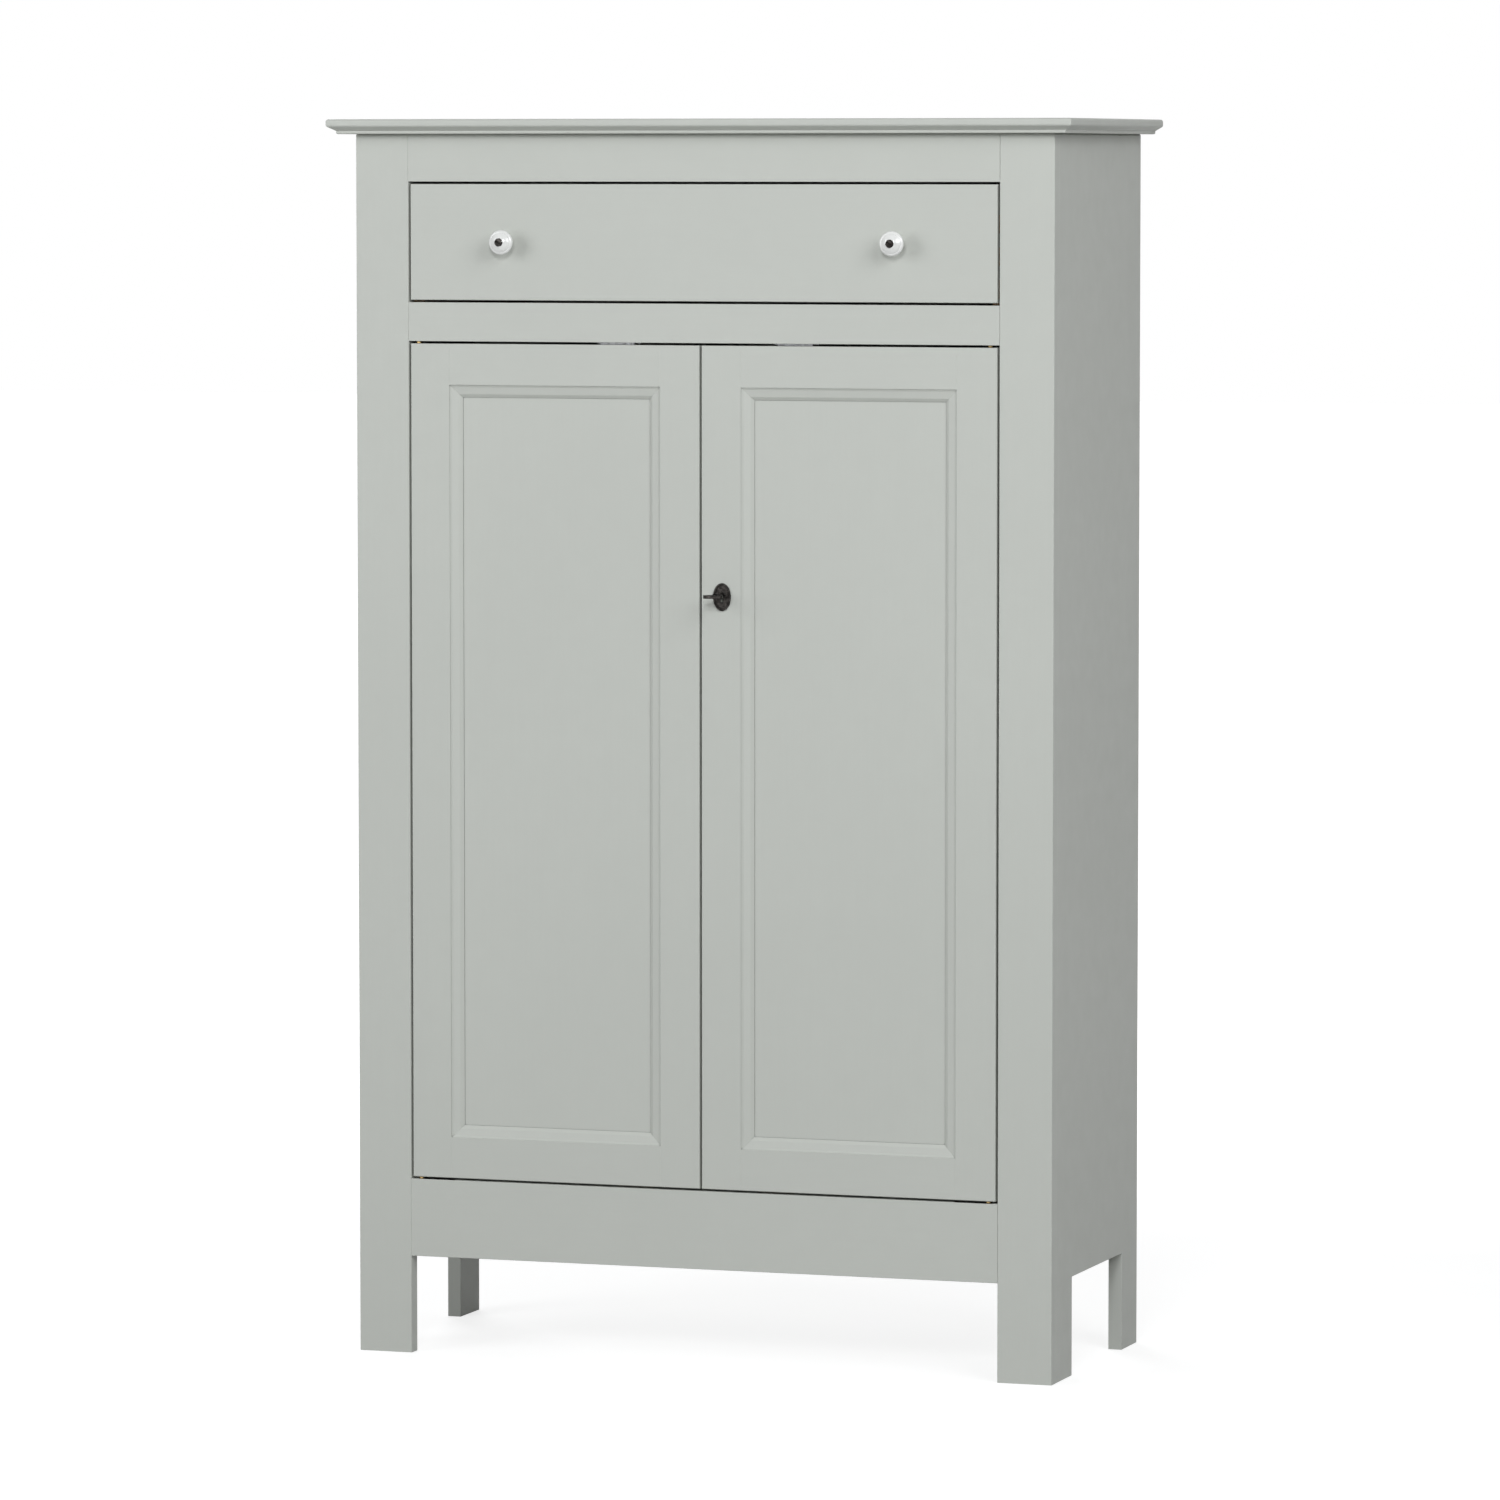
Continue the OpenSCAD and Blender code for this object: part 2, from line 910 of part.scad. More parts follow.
module panel_cut(lo, hi) {
    block([lo[0], panel_recess - seat, lo[1]], [hi[0], panel_recess + panel_t + seat, hi[1]]);
}

module hinge_stile() {
    difference() {
        intersection() {
            door_blank();
            block([door_x0, 0, door_z0], [panel_x0, door_t, door_z1]);
        }
        panel_cut([panel_x0 - panel_groove, door_z0 - over], [panel_x0 + over, door_z1 + over]);
        door_hinge_cuts();
    }
}

module meeting_stile() {
    difference() {
        intersection() {
            door_blank();
            block([panel_x1, 0, door_z0], [door_x1, door_t, door_z1]);
        }
        panel_cut([panel_x1 - over, door_z0 - over], [panel_x1 + panel_groove, door_z1 + over]);
    }
}

// A cross rail with the tongues that fill the stile grooves
module door_rail(z0, z1, groove_z0, groove_z1) {
    difference() {
        union() {
            intersection() {
                door_blank();
                block([panel_x0, 0, z0], [panel_x1, door_t, z1]);
            }
            block([panel_x0 - panel_groove + seat, panel_recess, z0],
                  [panel_x1 + panel_groove - seat, panel_recess + panel_t, z1]);
        }
        panel_cut([panel_x0 - panel_groove, groove_z0], [panel_x1 + panel_groove, groove_z1]);
        door_hinge_cuts();
    }
}

module upper_door_rail() {
    door_rail(panel_z1, door_z1, panel_z1 - over, panel_z1 + panel_groove);
}

module lower_door_rail() {
    door_rail(door_z0, panel_z0, panel_z0 - panel_groove, panel_z0 + over);
}

module door_panel() {
    block([panel_x0 - panel_groove + seat, panel_recess, panel_z0 - panel_groove + seat],
          [panel_x1 + panel_groove - seat, panel_recess + panel_t, panel_z1 + panel_groove - seat]);
}

// Section of the moulding: U runs in from the frame, V stands up from the panel.
// A quirk and a bevel at the frame, a band that falls gently, a steep bevel to the panel.
module moulding_section() {
    foot_u = moulding_w - moulding_foot;
    polygon([
        [0, 0], [moulding_w, 0], [moulding_w, moulding_lip],
        [foot_u, moulding_shoulder - moulding_fall],
        [moulding_bevel, moulding_shoulder], [0, panel_recess - moulding_quirk]
    ]);
}

// One strip along X with both ends cut to a mitre, outer edge on Z = 0
module mitred_strip(length) {
    intersection() {
        translate([0, panel_recess, 0])
            rotate([90, 0, 90])
                linear_extrude(length)
                    rotate([0, 0, 90])
                        moulding_section();
        translate([0, panel_recess, 0])
            rotate([90, 0, 0])
                linear_extrude(panel_recess)
                    polygon([
                        [seat, 0], [length - seat, 0],
                        [length - moulding_w - seat, moulding_w], [moulding_w + seat, moulding_w]
                    ]);
    }
}

module door_moulding() {
    wide = panel_x1 - panel_x0;
    tall = panel_z1 - panel_z0;
    translate([panel_x0, 0, panel_z0])
        mitred_strip(wide);
    translate([panel_x1, 0, panel_z1])
        rotate([0, 180, 0])
            mitred_strip(wide);
    translate([panel_x0, 0, panel_z1])
        rotate([0, 90, 0])
            mitred_strip(tall);
    translate([panel_x1, 0, panel_z0])
        rotate([0, -90, 0])
            mitred_strip(tall);
}

// Counter plate of the magnetic catch and the hinge screws in the door
module door_fittings() {
    edge_gap = 1;
    block([-catch_x - catch_w / 2, door_t, door_z1 - edge_gap - catch_h],
          [-catch_x + catch_w / 2, door_t + catch_plate_t, door_z1 - edge_gap]);
    at_door_pivots()
        hinge_screws(0);
}

module left_door_hinge_stile() {
    color(paint)
        placed()
            hinge_stile();
}

module left_door_meeting_stile() {
    color(paint)
        placed()
            difference() {
                meeting_stile();
                strike_pocket();
            }
}

module left_door_top_rail() {
    color(paint)
        placed()
            upper_door_rail();
}

module left_door_bottom_rail() {
    color(paint)
        placed()
            lower_door_rail();
}

module left_door_panel() {
    color(paint)
        placed()
            door_panel();
}

module left_door_moulding() {
    color(paint)
        placed()
            door_moulding();
}

module left_door_leaves() {
    color(brass)
        placed()
            at_door_pivots()
                door_leaf();
}

module left_door_fittings() {
    color(steel)
        placed() {
            door_fittings();
            strike_plate();
        }
}

module right_door_hinge_stile() {
    color(paint)
        placed()
            mirrored()
                hinge_stile();
}

module right_door_meeting_stile() {
    color(paint)
        placed()
            difference() {
                mirrored()
                    meeting_stile();
                lock_pocket();
            }
}

module right_door_top_rail() {
    color(paint)
        placed()
            mirrored()
                upper_door_rail();
}

module right_door_bottom_rail() {
    color(paint)
        placed()
            mirrored()
                lower_door_rail();
}

module right_door_panel() {
    color(paint)
        placed()
            mirrored()
                door_panel();
}

module right_door_moulding() {
    color(paint)
        placed()
            mirrored()
                door_moulding();
}

module right_door_leaves() {
    color(brass)
        placed()
            mirrored()
                at_door_pivots()
                    door_leaf();
}

module right_door_fittings() {
    color(steel)
        placed()
            mirrored()
                door_fittings();
}

// Lock, drawn where it stands in the right door's meeting stile

// Room of the lock case and its edge plate, or the two themselves with no growth.
// past is how far the room runs out through the door's edge and back.
module lock_shape(grow, past) {
    case_z = lock_case_h / 2 + grow;
    edge_z = selvedge_h / 2 + grow;
    block([edge_x - past, case_y0 - grow, lock_z - case_z],
          [edge_x + lock_case_w + grow, door_t + past, lock_z + case_z]);
    block([edge_x - past, selvedge_y0 - grow, lock_z - edge_z],
          [edge_x + lock_wall + grow, door_t + past, lock_z + edge_z]);
}

module keyhole(y0, y1) {
    hole_d = key_stem_d + 2 * slip;
    slot_w = 3.6;
    slot_l = 8.4;
    bar_y(key_x, lock_z, y0, y1, hole_d);
    block([key_x - slot_w / 2, y0, lock_z - slot_l], [key_x + slot_w / 2, y1, lock_z]);
}

module lock_pocket() {
    lock_shape(seat, over);
    keyhole(-over, case_y0 + over);
}

module lock_case() {
    color(steel)
        placed()
            difference() {
                lock_shape(0, 0);
                block([edge_x + lock_wall, cavity_y0, lock_z - lock_case_h / 2 + lock_wall],
                      [edge_x + lock_case_w - lock_wall, door_t + over,
                       lock_z + lock_case_h / 2 - lock_wall]);
                block([edge_x - over, bolt_y0 - lock_slip, bolt_window_z0],
                      [edge_x + lock_wall + over, bolt_y1 + lock_slip, bolt_window_z1]);
                keyhole(case_y0 - over, cavity_y0 + over);
            }
}

module lock_cap() {
    color(steel)
        placed()
            difference() {
                block([edge_x + lock_wall + seat, cavity_y1, lock_z - lock_case_h / 2 + lock_wall + seat],
                      [edge_x + lock_case_w - lock_wall - seat, door_t,
                       lock_z + lock_case_h / 2 - lock_wall - seat]);
                bar_y(key_x, lock_z, cavity_y1 - over, door_t + over, pinion_bore_d + 2 * pin_slip);
            }
}

// One rack tooth pointing down from the pitch line at Z = 0
module rack_tooth(grow) {
    half = tooth_pitch / 4 - backlash / 4 + grow;
    slope = tan(pressure_angle);
    tip = addendum + grow;
    root = dedendum + grow;
    polygon([
        [-half - root * slope, root], [-half + tip * slope, -tip],
        [half - tip * slope, -tip], [half + root * slope, root]
    ]);
}

// The sliding bolt: a plain head that leaves through the edge plate, and a rack above the pinion
module lock_bolt() {
    nose_x = edge_x + slip;
    tail_x = key_x + throw + tooth_pitch / 2;
    rack_first = -1;
    rack_last = 2;
    color(steel)
        placed()
            translate([0, bolt_y1, lock_z])
                rotate([90, 0, 0])
                    linear_extrude(bolt_y1 - bolt_y0) {
                        translate([nose_x, bolt_z0])
                            square([tail_x - nose_x, lock_bolt_h]);
                        for (k = [rack_first : rack_last])
                            translate([key_x + k * tooth_pitch, pinion_r])
                                rack_tooth(0);
                    }
}

// The pinion's spaces are the rack's own teeth rolled past it
module pinion_outline() {
    roll_range = 45;
    roll_step = 9;
    difference() {
        circle(pinion_r + addendum);
        for (k = [0 : pinion_teeth - 1])
            rotate([0, 0, 360 / pinion_teeth * k])
                for (a = [-roll_range : roll_step : roll_range])
                    rotate([0, 0, -a])
                        translate([-pinion_r * PI / 180 * a, pinion_r])
                            rack_tooth(backlash / 4);
    }
}

module lock_pinion() {
    color(brass)
        placed()
            difference() {
                translate([key_x, bolt_y1, lock_z])
                    rotate([90, 0, 0])
                        linear_extrude(bolt_y1 - bolt_y0)
                            pinion_outline();
                bar_y(key_x, lock_z, bolt_y0 - over, bolt_y1 + over, pinion_bore_d + 2 * seat);
            }
}

// Key with a flat ring bow that lies level at rest
module key() {
    ring_w = 4.2;
    collar_rim = 1.5;
    collar_t = 4;
    stem_in = 3;
    collar_y = -key_out + bow_l - stem_in;
    color(bronze)
        placed() {
            bar_y(key_x, lock_z, collar_y, cavity_y0 - seat, key_stem_d);
            bar_y(key_x, lock_z, collar_y, door_t - seat, pinion_bore_d);
            bar_y(key_x, lock_z, collar_y, collar_y + collar_t, key_stem_d + 2 * collar_rim);
            translate([key_x, -key_out, lock_z - bow_t / 2])
                linear_extrude(bow_t)
                    bow_outline(bow_w, bow_l, ring_w);
        }
}

// Oval ring whose front touches Y = 0, from points on two ellipses
module bow_outline(w, l, ring) {
    steps = 48;
    translate([0, l / 2])
        difference() {
            polygon(ellipse_points(w / 2, l / 2, steps));
            polygon(ellipse_points(w / 2 - ring, l / 2 - ring, steps));
        }
}

function ellipse_points(a, b, steps) =
    [for (k = [0 : steps - 1]) [a * cos(360 * k / steps), b * sin(360 * k / steps)]];

// Oval plate with a raised rim and a keyhole
module escutcheon() {
    steps = 72;
    rim = 2.2;
    rim_h = 0.9;
    field_t = escutcheon_t - rim_h;
    color(bronze)
        placed()
            difference() {
                translate([key_x, 0, lock_z - escutcheon_drop])
                    rotate([90, 0, 0])
                        difference() {
                            linear_extrude(escutcheon_t)
                                polygon(ellipse_points(escutcheon_w / 2, escutcheon_h / 2, steps));
                            translate([0, 0, field_t])
                                linear_extrude(escutcheon_t)
                                    polygon(ellipse_points(escutcheon_w / 2 - rim,
                                                           escutcheon_h / 2 - rim, steps));
                        }
                keyhole(-escutcheon_t - over, over);
            }
}

// Striking plate for the lock bolt on the left door's meeting edge

module strike_hole(x0, x1) {
    block([x0, bolt_y0 - slip, bolt_window_z0 - slip], [x1, bolt_y1 + slip, bolt_window_z1 + slip]);
}

module strike_pocket() {
    block([-edge_x - lock_wall - seat, selvedge_y0 - seat, lock_z - selvedge_h / 2 - seat],
          [-edge_x + over, door_t + over, lock_z + selvedge_h / 2 + seat]);
    strike_hole(-edge_x - throw - over, -edge_x);
}

module strike_plate() {
    difference() {
        block([-edge_x - lock_wall, selvedge_y0, lock_z - selvedge_h / 2],
              [-edge_x, door_t, lock_z + selvedge_h / 2]);
        strike_hole(-edge_x - lock_wall - over, -edge_x + over);
    }
}

// Slide bolts on the back of the left door's meeting stile

module slide_bolt_plate() {
    loop_d = 2 * (slide_y - door_t);
    for (z = [-loop_in - loop_h, -slide_plate_h + loop_in])
        translate([0, 0, z])
            difference() {
                block([slide_x - loop_d / 2, door_t, 0], [slide_x + loop_d / 2, door_t + loop_d, loop_h]);
                bar_z(slide_x, slide_y, -over, loop_h + over, rod_d + 2 * slip);
            }
    block([slide_x - slide_plate_w / 2, door_t, -slide_plate_h],
          [slide_x + slide_plate_w / 2, door_t + lock_wall, 0]);
}

module slide_rod() {
    grip_z = -loop_in - loop_h - slip - rod_travel - grip_d / 2;
    bar_z(slide_x, slide_y, -rod_l, 0, rod_d);
    bar_y(slide_x, grip_z, slide_y, slide_y + rod_d / 2 + grip_out, grip_d);
}

module at_door_top() {
    translate([0, 0, door_z1])
        children();
}

module at_door_bottom() {
    translate([0, 0, door_z0])
        mirror([0, 0, 1])
            children();
}

module slide_bolt_plates() {
    color(steel)
        placed() {
            at_door_top()
                slide_bolt_plate();
            at_door_bottom()
                slide_bolt_plate();
        }
}

module upper_slide_bolt() {
    color(steel)
        placed()
            at_door_top()
                slide_rod();
}

module lower_slide_bolt() {
    color(steel)
        placed()
            at_door_bottom()
                slide_rod();
}

// Drawer

// The dovetails of one side, in the plane of its height and depth
module tails(grow) {
    for (k = [0 : tail_count - 1])
        translate([drawer_front_t, side_z0 + tail_pitch * (k + 0.5)])
            polygon([
                [over, -tail_root / 2 - grow], [over, tail_root / 2 + grow],
                [0, tail_root / 2 + grow],
                [-tail_l - grow, tail_root / 2 + tail_flare + grow],
                [-tail_l - grow, -tail_root / 2 - tail_flare - grow],
                [0, -tail_root / 2 - grow]
            ]);
}

// Extrudes a depth and height outline across the left side's thickness.
// out and in are how far it runs past the side's two faces.
module across_side(out, in) {
    translate([-drawer_half - out, 0, 0])
        rotate([90, 0, 90])
            linear_extrude(drawer_side_t + out + in)
                children();
}

module bottom_slot(grow) {
    z = side_z0 + drawer_bottom_up;
    block([-drawer_inner - drawer_groove - grow, drawer_front_t - drawer_groove - grow, z - grow],
          [drawer_inner + drawer_groove + grow, drawer_d + 2 * grow, z + drawer_bottom_t + grow]);
}

module drawer_side() {
    difference() {
        across_side(0, 0) {
            tails(0);
            translate([drawer_front_t, side_z0])
                square([drawer_d - drawer_front_t, drawer_side_h]);
        }
        bottom_slot(seat);
        block([-drawer_inner - back_dado - seat, drawer_d - 2 * drawer_side_t - seat, side_z0 - over],
              [-drawer_inner + over, drawer_d - drawer_side_t + seat, side_z1 + over]);
    }
}

module drawer_front() {
    color(paint)
        placed()
            difference() {
                eased_front([-drawer_half, 0, front_z0], [drawer_half, drawer_front_t, front_z1]);
                both_sides()
                    across_side(over, seat)
                        tails(seat);
                bottom_slot(seat);
                for (x = [-knob_x, knob_x])
                    bar_y(x, knob_z, -over, drawer_front_t + over, bolt_d + 2 * seat);
            }
}

module left_drawer_side() {
    color(bare_wood)
        placed()
            drawer_side();
}

module right_drawer_side() {
    color(bare_wood)
        placed()
            mirrored()
                drawer_side();
}

module drawer_back() {
    color(bare_wood)
        placed()
            block([-drawer_inner - back_dado, drawer_d - 2 * drawer_side_t,
                   side_z0 + drawer_bottom_up + drawer_bottom_t + seat],
                  [drawer_inner + back_dado, drawer_d - drawer_side_t, side_z1]);
}

module drawer_bottom() {
    color(bare_wood)
        placed()
            bottom_slot(0);
}

// Half section of the glazed knob: radius against the distance from the drawer front
module knob_section() {
    head_r = knob_d / 2;
    neck_r = knob_neck_d / 2;
    foot_r = knob_foot_d / 2;
    foot_t = 3;
    neck_z = 8;
    rim_at = knob_out - knob_crown;
    rim_r = 3.4;
    dome_r = (head_r * head_r + knob_crown * knob_crown) / (2 * knob_crown);
    difference() {
        union() {
            square([foot_r - foot_t / 2, foot_t]);
            translate([foot_r - foot_t / 2, foot_t / 2])
                circle(d = foot_t);
            square([neck_r, rim_at]);
            intersection() {
                translate([0, rim_at - rim_r])
                    square([head_r, knob_crown + rim_r]);
                translate([0, knob_out - dome_r])
                    circle(dome_r, $fn = 96);
                square([head_r - rim_r, knob_out]);
            }
            translate([head_r - rim_r, rim_at])
                circle(rim_r);
            polygon([[0, foot_t], [neck_r, neck_z], [head_r - rim_r, rim_at - rim_r],
                     [head_r - rim_r, rim_at + rim_r], [0, rim_at + rim_r]]);
        }
        translate([-knob_d, 0])
            square([knob_d, knob_out]);
    }
}

module knob(x) {
    translate([x, 0, knob_z])
        rotate([90, 0, 0])
            difference() {
                rotate_extrude()
                    knob_section();
                translate([0, 0, -over])
                    cylinder(h = knob_out + 2 * over, d = bolt_d + 2 * seat);
                translate([0, 0, knob_out - knob_head_in])
                    cylinder(h = knob_head_in + over, d = bolt_head_d + 2 * seat);
            }
}

module left_knob() {
    color(porcelain)
        placed()
            knob(-knob_x);
}

module right_knob() {
    color(porcelain)
        placed()
            knob(knob_x);
}

// Bolt through knob and drawer front, with a slotted round head
module knob_bolts() {
    head_t = 2.6;
    slot_w = 1.6;
    slot_angle = 30;
    thread_out = 6;
    head_y = -knob_out + knob_head_in;
    color(bronze)
        placed()
            for (x = [-knob_x, knob_x]) {
                bar_y(x, knob_z, head_y, drawer_front_t + thread_out, bolt_d);
                difference() {
                    bar_y(x, knob_z, head_y - head_t, head_y, bolt_head_d);
                    translate([x, head_y - head_t, knob_z])
                        rotate([0, slot_angle, 0])
                            cube([bolt_head_d + over, slot_w, slot_w], center = true);
                }
            }
}

module knob_nuts() {
    nut_t = 3;
    nut_d = 8;
    washer_t = 1;
    washer_d = 10;
    color(steel)
        placed()
            for (x = [-knob_x, knob_x])
                difference() {
                    union() {
                        bar_y(x, knob_z, drawer_front_t, drawer_front_t + washer_t, washer_d);
                        translate([x, drawer_front_t + washer_t, knob_z])
                            rotate([-90, 0, 0])
                                cylinder(h = nut_t, d = nut_d, $fn = 6);
                    }
                    bar_y(x, knob_z, drawer_front_t - over, drawer_front_t + washer_t + nut_t + over,
                          bolt_d + 2 * seat);
                }
}

left_side_panel();
right_side_panel();
left_stile();
right_stile();
top_rail();
middle_rail();
bottom_rail();
cornice_board();
bottom_board();
dust_board();
back_panel();
back_rail();
lower_shelf();
upper_shelf();
shelf_pins();
left_drawer_runner();
right_drawer_runner();
left_kicker();
right_kicker();
drawer_stops();
glue_blocks();
door_stops();
magnetic_catches();
hinge_frame_leaves();
frame_hinge_screws();
drawer_front();
left_drawer_side();
right_drawer_side();
drawer_back();
drawer_bottom();
left_knob();
right_knob();
knob_bolts();
knob_nuts();
left_door_hinge_stile();
left_door_meeting_stile();
left_door_top_rail();
left_door_bottom_rail();
left_door_panel();
left_door_moulding();
left_door_leaves();
left_door_fittings();
slide_bolt_plates();
upper_slide_bolt();
lower_slide_bolt();
right_door_hinge_stile();
right_door_meeting_stile();
right_door_top_rail();
right_door_bottom_rail();
right_door_panel();
right_door_moulding();
right_door_leaves();
right_door_fittings();
escutcheon();
lock_case();
lock_cap();
lock_bolt();
lock_pinion();
key();
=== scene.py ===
import math
from collections import namedtuple

import bpy
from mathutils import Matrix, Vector

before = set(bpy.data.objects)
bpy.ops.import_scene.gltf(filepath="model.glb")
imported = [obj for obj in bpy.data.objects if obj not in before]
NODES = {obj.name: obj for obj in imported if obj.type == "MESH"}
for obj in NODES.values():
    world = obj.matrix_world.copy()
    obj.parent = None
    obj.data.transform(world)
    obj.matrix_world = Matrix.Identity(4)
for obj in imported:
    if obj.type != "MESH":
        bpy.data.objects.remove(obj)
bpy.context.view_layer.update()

# Camera at the photograph's viewing angle: metres and degrees, lens and sensor in millimetres
CAMERA_AT = (3.2969, -9.6671, 1.5402)
CAMERA_YAW = 18.788
CAMERA_DOWN = 4.236
CAMERA_LENS = 189.28
CAMERA_SENSOR = 36.0
CAMERA_NEAR = 0.1
CAMERA_FAR = 100.0

# Studio lights: places and sides in metres, power in watts
WHITE = (1.0, 1.0, 1.0, 1.0)
COOL_WHITE = (0.985, 1.0, 1.025)
WORLD_LEVEL = 0.2
Softbox = namedtuple("Softbox", "name at towards side power")
SOFTBOXES = (
    Softbox("right_softbox", (3.37, -2.83, 3.0), (0.0, 0.0, 1.5), 2.4, 87),
    Softbox("left_softbox", (-2.83, -3.37, 2.2), (0.0, 0.0, 1.1), 2.4, 64),
    Softbox("front_softbox", (1.3, -5.0, 2.75), (0.0, 0.0, 0.9), 1.0, 88),
    Softbox("rear_softbox", (-2.6, 4.1, 2.4), (0.0, 0.0, 0.9), 2.4, 90),
)

# Floor. It glows white to the eye without shedding light, and less near the object, where
# the shadow shows. A distance from the middle counts half as much across as in depth.
FLOOR_HALF = 40.0
FLOOR_TONES = ((0.36, 0.36, 0.355, 1.0), (0.38, 0.38, 0.375, 1.0))
FLOOR_SCALE = 3.0
GLOW_DISTANCE = (1.2, 3.5)
GLOW_STRENGTH = (0.75, 1.0)
GLOW_WEIGHTS = (0.5, 1.0, 1.0)

# Base colours, linear
PAINT = (0.530, 0.545, 0.503)
INSIDE_PAINT = (0.585, 0.595, 0.560)
BARE_WOOD = (0.520, 0.350, 0.190)
PORCELAIN = (0.800, 0.805, 0.780)
BRONZE = (0.050, 0.046, 0.043)
BRASS = (0.560, 0.390, 0.170)
STEEL = (0.480, 0.485, 0.500)

# In the materials below a scale is in waves for each metre, a width, radius, reach or depth
# in metres, and a shade is a part of the base colour

# Spans of a noise: where most of its values lie, and where it turns a surface dull
NOISE_SPAN = (0.3, 0.7)
DULL_SPAN = (0.3, 0.8)

# Edges: cosine of the rounded normal's turn, on flat ground and at a full edge
EDGE_TURN = (0.999, 0.86)
EDGE_SAMPLES = 6

# Painted shade in corners: how open the surroundings are where it starts and where it is full
SHADE_MASK_OPEN = (0.9, 0.5)
SHADE_MASK_SAMPLES = 8

# Paint, with the arrises where it wears thin and the painted shade lines beside the mouldings
SATIN = 0.46
MATT = 0.55
PAINT_DULL = (-0.04, 0.06)
PEEL_SCALE = 520.0
PEEL_DEPTH = 0.00006
CLOUD_SCALE = 2.6
CLOUD_SHADES = (0.985, 1.015)
MOTTLE_SCALE = 38.0
MOTTLE_SHADE = 0.965
FIBRE_SHADE = 0.955
FIBRE_DEPTH = 0.00008
ARRIS_WIDTH = 0.0016
ARRIS_RADIUS = 0.0007
ARRIS_SHADE = 1.12
ARRIS_SHARE = 0.45
ARRIS_GLOSS = -0.08
# Painted shade lines beside the mouldings: their reach, tone and share
SHADE_LINE_REACH = 0.004
SHADE_LINE_TONE = 0.3
SHADE_LINE_SHARE = 0.9

# Softwood
BAND_SHADES = (0.86, 1.14)
LATE_WOOD_SHADES = (0.72, 0.60, 0.48)
PORE_SHADE = 0.5
PORE_DEPTH = 0.0001
WAX_ROUGHNESS = (0.62, 0.5)

# All metals
CLEAN_SHADE = 1.4
PATCH_SHADE = 0.3
PATCH_DULL = 0.2
# Painted shade in close corners: its reach and tone
METAL_SHADE_REACH = 0.01
METAL_SHADE_TONE = 0.06
SCRATCH_SCALES = (2600.0, 2600.0, 240.0)
SCRATCH_DEPTH = 0.00002
METAL_RADIUS = 0.0003

# Porcelain
GLAZE_SCALE = 90.0
GLAZE_SHADES = (0.9, 0.96)
GLAZE_DEPTH = 0.0002
GLAZE_ROUGHNESS = (0.14, 0.2)
SPECK_SCALE = 1400.0
SPECK_SHADE = 0.75

# Which way the wood runs in each node: X across, Y in depth, Z up
UPRIGHT = "Z"
ACROSS = "X"
DEEP = "Y"
PAINTED = {
    "left_side_panel": UPRIGHT, "right_side_panel": UPRIGHT,
    "left_stile": UPRIGHT, "right_stile": UPRIGHT,
    "top_rail": ACROSS, "middle_rail": ACROSS, "bottom_rail": ACROSS,
    "cornice_board": ACROSS, "drawer_front": ACROSS,
}
for side in ("left", "right"):
    PAINTED[f"{side}_door_hinge_stile"] = UPRIGHT
    PAINTED[f"{side}_door_meeting_stile"] = UPRIGHT
    PAINTED[f"{side}_door_top_rail"] = ACROSS
    PAINTED[f"{side}_door_bottom_rail"] = ACROSS
INSIDE = {
    "bottom_board": ACROSS, "dust_board": ACROSS, "back_panel": UPRIGHT,
    "back_rail": ACROSS, "lower_shelf": ACROSS, "upper_shelf": ACROSS,
}
WOODEN = {
    "left_drawer_runner": DEEP, "right_drawer_runner": DEEP,
    "left_kicker": DEEP, "right_kicker": DEEP, "drawer_stops": DEEP,
    "glue_blocks": ACROSS, "door_stops": ACROSS,
    "left_drawer_side": DEEP, "right_drawer_side": DEEP,
    "drawer_back": ACROSS, "drawer_bottom": ACROSS,
}
MOULDED = ("left_door_panel", "left_door_moulding",
           "right_door_panel", "right_door_moulding")
GLAZED = ("left_knob", "right_knob")

# Each metal has patches of grime up to patch_share, and a rim of another shade along sharp
# edges. Where its last field is set, painted shade darkens it where something stands close. A
# bake keeps what stands close at rest, so the steel that shows on open doors goes without.
Metal = namedtuple("Metal", "name nodes colour roughness patch_scale patch_share "
                            "rim_width rim_share rim_shade dark_corners")
METALS = (
    Metal(name="aged_bronze", nodes=("knob_bolts", "escutcheon", "key"),
          colour=BRONZE, roughness=0.22, patch_scale=210.0, patch_share=0.9,
          rim_width=0.0022, rim_share=0.8, rim_shade=0.15, dark_corners=True),
    Metal(name="tarnished_brass",
          nodes=("hinge_frame_leaves", "frame_hinge_screws", "left_door_leaves",
                 "right_door_leaves", "lock_pinion"),
          colour=BRASS, roughness=0.3, patch_scale=140.0, patch_share=0.85,
          rim_width=0.0009, rim_share=0.6, rim_shade=0.6, dark_corners=True),
    Metal(name="zinc_steel",
          nodes=("shelf_pins", "magnetic_catches", "knob_nuts", "left_door_fittings",
                 "right_door_fittings", "slide_bolt_plates", "upper_slide_bolt",
                 "lower_slide_bolt", "lock_case", "lock_cap", "lock_bolt"),
          colour=STEEL, roughness=0.32, patch_scale=140.0, patch_share=0.35,
          rim_width=0.0009, rim_share=0.6, rim_shade=1.5, dark_corners=False),
)


